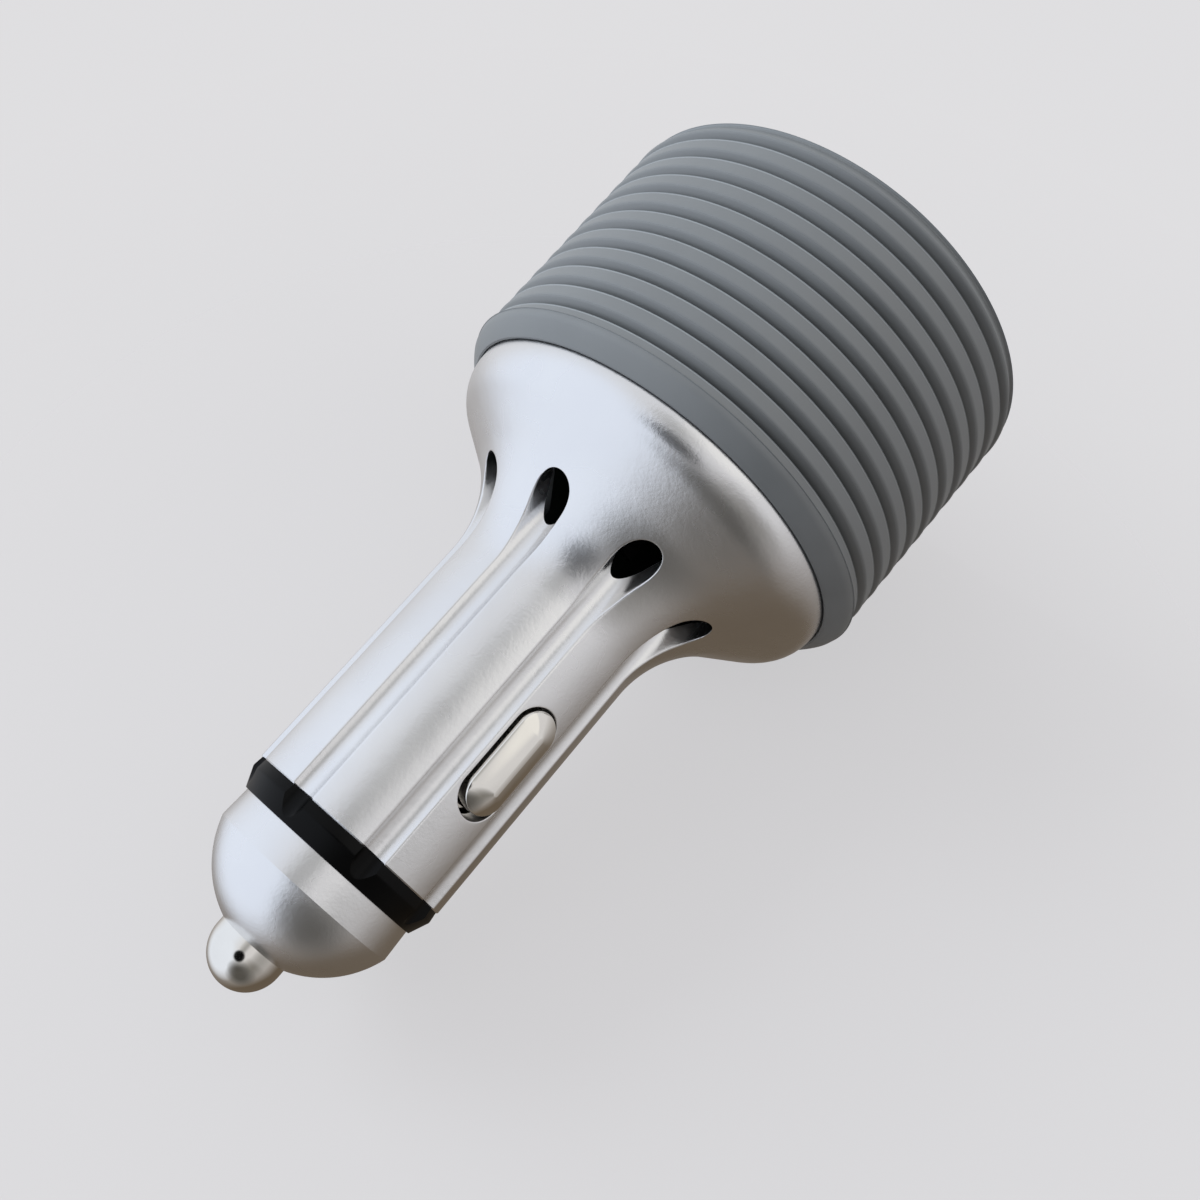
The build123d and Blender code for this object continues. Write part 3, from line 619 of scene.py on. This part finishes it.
def ringPatches(size, flute):
    # turned outline cut back to the flutes: at radius r a flute reaches out to the angle
    # acos((c^2 + r^2 - f^2) / 2cr), and inside it the radius is c cos a - sqrt(f^2 - c^2 sin^2 a)
    top, rear = size["bottom"] + size["height"], size["bottom"] + size["rear"]
    profile = rounded([(size["bore"], size["bottom"]), (size["r"], size["bottom"]), (size["r"], rear),
                       (size["front"], top), (size["bore"], top)],
                      [size["edge"], size["shoulder"], size["edge"]], size["arcSteps"])
    # the taper runs between the second arc's end and the third arc's start
    taperEnd = 2 * (size["arcSteps"] + 1) + 1
    shares = np.linspace(0, 1, size["taperSteps"] + 1)[1:-1]
    taper = blended(profile[taperEnd - 1], profile[taperEnd], shares)
    profile = np.concatenate([profile[:taperEnd], taper, profile[taperEnd:], profile[:1]])
    radius, height = profile.T[:, :, None]
    floorRound = flute["floorRound"]
    centre = flute["floor"] + floorRound
    cosine = (centre ** 2 + radius ** 2 - floorRound ** 2) / (2 * centre * radius)
    reach = np.where(radius > flute["floor"], np.arccos(np.clip(cosine, -1, 1)), 0)
    half = math.pi / flute["flutes"]
    inward = reach * np.linspace(-1, 1, 2 * size["inside"] + 1)
    outward = reach + (half - reach) * np.linspace(0, 1, size["outside"] + 1)[1:]
    angle = np.concatenate([-outward[:, ::-1], inward, outward], 1)
    floor = centre * np.cos(inward) - np.sqrt(floorRound ** 2 - (centre * np.sin(inward)) ** 2)
    within = np.concatenate([radius + 0 * outward, np.minimum(floor, radius), radius + 0 * outward], 1)
    patch = np.stack([within * np.cos(angle), within * np.sin(angle), height + 0 * angle], -1)
    return [aboutZ(patch, (2 * count + 1) * half) for count in range(flute["flutes"])]


pieceFrom("insulatingRing", ringPatches(ring, shell), "housing", ["insulating_ring"],
          blackPlastic)

nose = {"bottom": 72.5, "bandR": 9.45, "bandTop": 75.4, "domeR": 9.95, "hole": 3.56, "bore": 4.4,
        "thread": 7.9, "threadTop": 76.6, "seatDepth": 3.35, "edge": 0.12, "crease": 0.02,
        "mouth": 0.12, "mouthRound": 0.1, "domePoints": 60}


def noseProfile(size):
    # closed outline: band, crease, dome, pin hole, and the hollow behind
    centre = size["bandTop"] - math.sqrt(size["domeR"] ** 2 - size["bandR"] ** 2)
    first = math.acos(size["bandR"] / size["domeR"])
    last = math.acos((size["hole"] + size["mouth"]) / size["domeR"])
    sweep = np.linspace(first, last, size["domePoints"])
    dome = np.stack([size["domeR"] * np.cos(sweep), centre + size["domeR"] * np.sin(sweep)], 1)
    exitZ = dome[-1, 1]
    seatZ = exitZ - size["seatDepth"]
    start = rounded([(size["thread"], size["bottom"]), (size["bandR"], size["bottom"]),
                     (size["bandR"], size["bandTop"] - size["crease"])], [size["edge"]])
    end = rounded([dome[-1], (size["hole"], exitZ), (size["hole"], seatZ), (size["bore"], seatZ),
                   (size["bore"], size["threadTop"]), (size["thread"], size["threadTop"]),
                   (size["thread"], size["bottom"])], [size["mouthRound"], 0, 0, 0, 0])
    return np.concatenate([start, dome, end[1:]])


pieceFrom("noseCap", [turned(noseProfile(nose), circle)], "housing", ["nose_cap"],
          blastedMetal, sharp=14)

low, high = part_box("centre_contact")
pin = {"r": 3.5, "tip": high.z / mm, "flange": 4.1, "flangeHeight": 1.2, "spigot": 2.6,
       "bottom": low.z / mm, "spigotHeight": 1.5, "flangeEdge": 0.1, "spigotEdge": 0.2,
       "ballPoints": 40}


def pinProfile(size):
    # closed outline: half ball, barrel, flange and spigot
    quarter = np.linspace(math.pi / 2, 0, size["ballPoints"])
    ballZ = size["tip"] - size["r"]
    ball = np.stack([size["r"] * np.cos(quarter), ballZ + size["r"] * np.sin(quarter)], 1)
    flangeLow = size["bottom"] + size["spigotHeight"]
    flangeTop = flangeLow + size["flangeHeight"]
    rest = rounded([(size["r"], ballZ), (size["r"], flangeTop), (size["flange"], flangeTop),
                    (size["flange"], flangeLow), (size["spigot"], flangeLow),
                    (size["spigot"], size["bottom"]), (0, size["bottom"])],
                   [0, size["flangeEdge"], size["flangeEdge"], 0, size["spigotEdge"]])
    return np.concatenate([ball, rest[1:]])


pieceFrom("centrePin", [turned(pinProfile(pin), circle[::2])], "centre_pin", ["centre_contact"],
          nickelPlate)

# side contacts
contact = {
    "back": 6.9, "lip": 1.0, "lipHalf": 2.65, "lipLength": 12.0, "lipMiddle": 56.8,
    "half": 2.15, "length": 10.6, "middle": 56.6, "bevelY": 10.6,
    "crestY": 11.6, "crestHalf": 0.26, "crestLength": 6.3, "crown": 0.015,
    "bulge": 0.16, "bulgeR": 5.2, "sideEdge": 0.25, "crestEdge": 0.12, "lipEdge": 0.05, "around": 24,
    "spigot": 1.22, "spigotHeight": 1.0,
}


def contactPatches(size, outward):
    # outlines of a round-ended slot stacked outwards: lip, straight side, bulged bevel and crest,
    # whose length and middle follow the half width; the crest swells by crown (1 - (x / crest)^2)
    end = np.linspace(-math.pi / 2, math.pi / 2, size["around"] + 1)
    slope = math.atan2(size["crestY"] - size["bevelY"], size["half"] - size["crestHalf"])
    swollen = ((size["half"] + size["crestHalf"]) / 2 + size["bulge"] * math.sin(slope),
               (size["bevelY"] + size["crestY"]) / 2 + size["bulge"] * math.cos(slope))
    steps = rounded([(0, size["back"]), (size["lipHalf"], size["back"]),
                     (size["lipHalf"], size["back"] + size["lip"]),
                     (size["half"], size["back"] + size["lip"]), (size["half"], size["bevelY"]), swollen,
                     (size["crestHalf"], size["crestY"]), (size["crestHalf"] / 2, size["crestY"]),
                     (0, size["crestY"])],
                    [size["lipEdge"], size["lipEdge"], 0, size["sideEdge"], size["bulgeR"],
                     size["crestEdge"], 0])
    half, depth = steps.T
    depth = depth + np.where(depth > size["bevelY"], size["crown"], 0) * np.clip(
        1 - (half / size["crestHalf"]) ** 2, 0, 1)
    breaks = [0, size["crestHalf"], size["half"], size["lipHalf"]]
    lengths = [size["crestLength"] - 2 * size["crestHalf"], size["crestLength"], size["length"],
               size["lipLength"]]
    middles = [size["middle"], size["middle"], size["middle"], size["lipMiddle"]]
    straight = np.interp(half, breaks, lengths)[:, None] / 2 - half[:, None]
    middle = np.interp(half, breaks, middles)[:, None]
    half = half[:, None]
    x = np.concatenate([half * np.sin(end), half * np.sin(end[::-1]), half * np.sin(end[:1])], 1)
    z = np.concatenate([middle + straight + half * np.cos(end),
                        middle - straight - half * np.cos(end[::-1]),
                        middle + straight + half * np.cos(end[:1])], 1)
    skin = np.stack([x, outward * np.broadcast_to(depth[:, None], x.shape), z], -1)
    # spigot: a closed cylinder whose front is sunk in the lip
    low, high = size["back"] - size["spigotHeight"], size["back"] + size["lip"] / 2
    spigot = turned([(0, low), (size["spigot"], low), (size["spigot"], high), (0, high)], circle[::8])
    spigot = np.stack([spigot[..., 0], outward * spigot[..., 2], size["lipMiddle"] + spigot[..., 1]], -1)
    return [skin, spigot]


for pieceName, outward, bodyName, nodeName in (
    ("sideContactNear", -1, "near_contact", "side_contact_near"),
    ("sideContactFar", 1, "far_contact", "side_contact_far"),
):
    pieceFrom(pieceName, contactPatches(contact, outward), bodyName, [nodeName], nickelPlate)
print("stage: pieces made")

# floor, lamp and background
objectMiddle = Vector((0, 0, 0.043))
floorSettings = {
    "tilt": -10.13, "turn": -33.63, "size": 0.9, "drop": 0.0002,
    "base": (0.64, 0.615, 0.61), "pale": (0.74, 0.735, 0.75), "paleShare": 0.72,
    "fadeFrom": 0.05, "fadeTo": 0.12,
}


def floorPlane(settings):
    # a plane under the sleeve's lowest point, with its normal at the two angles in degrees; its
    # middle lies straight under the object's
    tilt, turn = math.radians(settings["tilt"]), math.radians(settings["turn"])
    normal = Vector((math.cos(tilt) * math.cos(turn), math.cos(tilt) * math.sin(turn), math.sin(tilt)))
    sleevePoints = np.array([vertex.co for vertex in bpy.data.objects["gripSleeve"].data.vertices])
    level = float((sleevePoints @ np.array(normal)).min()) - settings["drop"]
    centre = objectMiddle + normal * (level - objectMiddle.dot(normal))
    half = settings["size"] / 2
    corners = [(-half, -half, 0), (half, -half, 0), (half, half, 0), (-half, half, 0)]
    mesh = bpy.data.meshes.new("floor")
    mesh.from_pydata(corners, [], [(0, 1, 2, 3)])
    mesh.transform(Matrix.Translation(centre) @ normal.to_track_quat("Z", "Y").to_matrix().to_4x4())
    plane = bpy.data.objects.new("floor", mesh)
    bpy.context.scene.collection.objects.link(plane)
    return plane, centre


def eitherOf(tree, first, second):
    # the larger of two factors
    node = addNode(tree, "ShaderNodeMath", [(0, first), (1, second)], operation="MAXIMUM")
    return node.outputs["Value"]


def plainRay(tree):
    # 1 for camera and transmission rays, which see plain colours, and 0 for the others
    rays = addNode(tree, "ShaderNodeLightPath")
    return eitherOf(tree, rays.outputs["Is Camera Ray"], rays.outputs["Is Transmission Ray"])


def mixOf(tree, factor, first, second):
    # two shaders mixed by a factor
    node = addNode(tree, "ShaderNodeMixShader", [("Fac", factor), (1, first), (2, second)])
    return node.outputs["Shader"]


def paleFloor(settings, centre):
    # its lit colour under a plain pale one, clear from behind and beyond the fade
    material, tree, shader = newMaterial("paleFloor", Roughness=0.9, Specular_IOR_Level=0.0)
    shader.inputs["Base Color"].default_value = (*settings["base"], 1)
    pale = addNode(tree, "ShaderNodeEmission", Color=(*settings["pale"], 1), Strength=1.0)
    paleShare = spread(tree, plainRay(tree), 0, settings["paleShare"], 0, 1)
    covered = mixOf(tree, paleShare, shader.outputs["BSDF"], pale.outputs["Emission"])
    place = addNode(tree, "ShaderNodeTexCoord").outputs["Object"]
    away = addNode(tree, "ShaderNodeVectorMath", [(0, place)], operation="DISTANCE")
    away.inputs[1].default_value = centre
    fade = spread(tree, away.outputs["Value"], 0, 1, settings["fadeFrom"], settings["fadeTo"])
    behind = addNode(tree, "ShaderNodeNewGeometry").outputs["Backfacing"]
    clear = addNode(tree, "ShaderNodeBsdfTransparent")
    surface = mixOf(tree, eitherOf(tree, fade, behind), covered, clear.outputs["BSDF"])
    tree.links.new(tree.nodes["Material Output"].inputs["Surface"], surface)
    return material


floor, floorCentre = floorPlane(floorSettings)
floor.visible_glossy = False
floor.data.materials.append(paleFloor(floorSettings, floorCentre))


def lamp(name, side, height, toward, size, power, colour):
    # a square lamp placed from the object's middle in the camera's own directions, aimed at it
    data = bpy.data.lights.new(name, "AREA")
    data.size = size
    data.energy = power
    data.color = colour
    light = bpy.data.objects.new(name, data)
    light.location = objectMiddle + viewRight * side + viewUp * height + viewBack * toward
    light.rotation_euler = (objectMiddle - light.location).to_track_quat("-Z", "Y").to_euler()
    light.visible_glossy = False
    bpy.context.scene.collection.objects.link(light)


keyLamp = {"side": -1.05, "height": 0.78, "toward": 0.38, "size": 0.7, "power": 12.0,
           "colour": (0.88, 0.95, 1.0)}
lamp("keyLamp", **keyLamp)

# studio round the object, in the camera's directions right, up and back as it was placed
studio = {
    "backdrop": (0.74, 0.735, 0.75),
    "up": (-0.17, 0.985, 0.0), "from": 0.15, "high": (0.79, 0.81, 0.845),
    # cloths hung round the object: direction, cosine where each starts and where it is full, tone
    "cloths": [
        ((0.121, -0.809, -0.575), 0.0, 0.89, (0.140, 0.110, 0.080)),
        ((-0.956, 0.095, 0.278), 0.42, 0.77, (0.882, 0.945, 1.057)),
        ((0.328, -0.587, 0.74), 0.84, 1.0, (0.23, 0.22, 0.205)),
        ((-0.256, -0.597, 0.761), 0.87, 1.0, (0.079, 0.076, 0.07)),
        ((-0.189, -0.85, 0.492), 0.822, 0.989, (0.097, 0.092, 0.084)),
        ((0.05, 0.385, 0.921), 0.96, 1.0, (0.36, 0.36, 0.35)),
        ((-0.21, 0.0, 0.978), 0.953, 0.975, (0.004, 0.004, 0.004)),
        ((0.63, 0.40, 0.666), 0.896, 0.935, (0.95, 0.94, 0.92)),
    ],
}


def along(tree, direction):
    # cosine between the ray and a direction given along the camera's right, up and back
    fixed = viewRight * direction[0] + viewUp * direction[1] + viewBack * direction[2]
    ray = addNode(tree, "ShaderNodeTexCoord").outputs["Generated"]
    node = addNode(tree, "ShaderNodeVectorMath", [(0, ray)], operation="DOT_PRODUCT")
    node.inputs[1].default_value = fixed.normalized()
    return node.outputs["Value"]


def hangStudio(settings):
    # colour in direction d: the backdrop, the high tone over it as d . up goes to 1, then each cloth,
    # by how far d . cloth has gone from its start to its full cosine; the camera sees the backdrop alone
    world = bpy.data.worlds.new("studio")
    bpy.context.scene.world = world
    world.use_nodes = True
    tree = world.node_tree
    height = along(tree, settings["up"])
    paint = tint(tree, height, settings["backdrop"], settings["high"], settings["from"], 1)
    for direction, start, full, tone in settings["cloths"]:
        hung = spread(tree, along(tree, direction), 0, 1, start, full)
        cloth = addNode(tree, "ShaderNodeMixRGB", [("Fac", hung), ("Color1", paint)], Color2=(*tone, 1))
        paint = cloth.outputs["Color"]
    shown = addNode(tree, "ShaderNodeMixRGB", [("Fac", plainRay(tree)), ("Color1", paint)],
                    Color2=(*settings["backdrop"], 1))
    tree.links.new(tree.nodes["Background"].inputs["Color"], shown.outputs["Color"])
    tree.nodes["Background"].inputs["Strength"].default_value = 1.0


hangStudio(studio)
print("stage: floor, lamp and background made")
